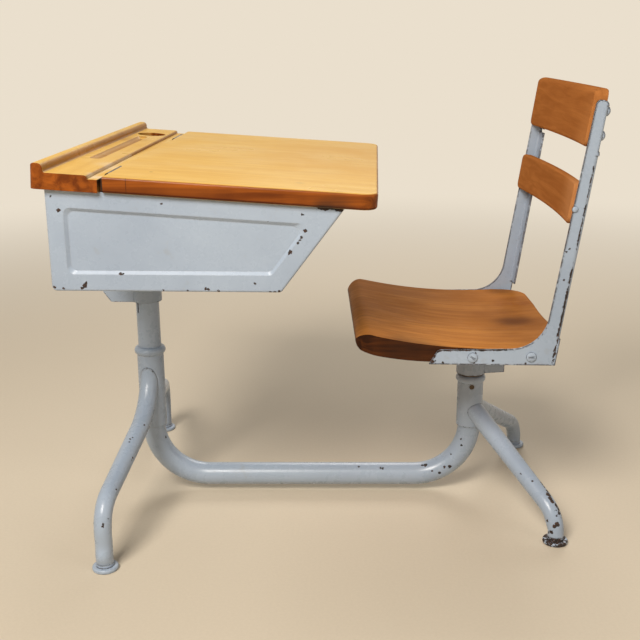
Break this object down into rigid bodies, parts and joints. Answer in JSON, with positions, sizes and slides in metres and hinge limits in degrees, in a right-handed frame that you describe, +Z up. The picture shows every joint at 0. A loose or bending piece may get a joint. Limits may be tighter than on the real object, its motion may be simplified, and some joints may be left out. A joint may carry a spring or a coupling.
{
  "type": "school desk",
  "caption": "School desk with a lift-lid steel book box and a swivel seat with slatted back, joined by one bent tubular base on splayed legs.",
  "frame": {"origin": "on the floor, under the middle of the bounding box", "axes": "+X from the desk towards the seat, +Y across towards the side with the inkwell hole, +Z up"},
  "size_m": [0.7831, 0.613, 0.6939],
  "materials": {
    "enamel": "semi-gloss enamel, chipped",
    "painted_iron": "painted casting, worn",
    "top_wood": "satin varnish",
    "seat_wood": "satin varnish, worn",
    "bare_steel": "dull, age-darkened",
    "fasteners": "dull, age-darkened",
    "bronze": "turned",
    "buffer_rubber": "matt"
  },
  "bodies": {
    "base": {"stretcher_tube": "enamel", "desk_pedestal": "enamel", "seat_pedestal": "enamel", "desk_leg_near": "enamel", "desk_leg_far": "enamel", "seat_leg_near": "enamel", "seat_leg_far": "enamel", "desk_glide_near": "bare_steel", "desk_glide_far": "bare_steel", "seat_glide_near": "bare_steel", "seat_glide_far": "bare_steel", "desk_set_screw": "fasteners", "seat_set_screw": "fasteners"},
    "desk": {"desk_column": "enamel", "column_pin": "fasteners", "desk_bracket": "painted_iron", "box_bolts": "fasteners", "box_nuts": "fasteners", "box_wrap": "enamel", "box_side_near": "enamel", "box_side_far": "enamel", "pen_strip": "top_wood", "strip_screws": "fasteners", "near_hinge_strip_leaf": "bare_steel", "far_hinge_strip_leaf": "bare_steel", "hinge_pins": "bare_steel", "strip_hinge_screws": "fasteners"},
    "lid": {"lid_board": "top_wood", "near_hinge_lid_leaf": "bare_steel", "far_hinge_lid_leaf": "bare_steel", "lid_hinge_screws": "fasteners"},
    "seat_slide": {"seat_post": "bare_steel", "thrust_washer": "bare_steel", "stop_collar": "bare_steel", "collar_pin": "fasteners"},
    "seat": {"seat_bracket": "painted_iron", "swivel_bush": "bronze", "swivel_buffers": "buffer_rubber", "seat_board": "seat_wood", "spider_screws": "fasteners", "seat_side_near": "enamel", "seat_side_far": "enamel", "side_screws": "fasteners", "top_slat": "seat_wood", "slat_bolts": "fasteners", "slat_pivots": "fasteners"},
    "back_rest": {"lower_slat": "seat_wood"}
  },
  "joints": [
    {"name": "desk_height", "type": "slide", "parent": "base", "child": "desk", "axis": [0, 0, 1], "range_m": [-0.054, 0.025]},
    {"name": "lid_lift", "type": "hinge", "parent": "desk", "child": "lid", "pos_m": [-0.29782, 0, 0.58761], "axis": [0, -1, 0], "range_deg": [0, 100]},
    {"name": "seat_height", "type": "slide", "parent": "base", "child": "seat_slide", "axis": [0, 0, 1], "range_m": [0, 0.035]},
    {"name": "seat_swivel", "type": "hinge", "parent": "seat_slide", "child": "seat", "pos_m": [0.22616, 0.02179, 0.25], "axis": [0, 0, 1], "range_deg": [-46.5, 43.5]},
    {"name": "back_rest_tilt", "type": "hinge", "parent": "seat", "child": "back_rest", "pos_m": [0.33586, 0.02908, 0.52432], "axis": [-0.0663, 0.9978, 0], "range_deg": [-5, 5]}
  ]
}
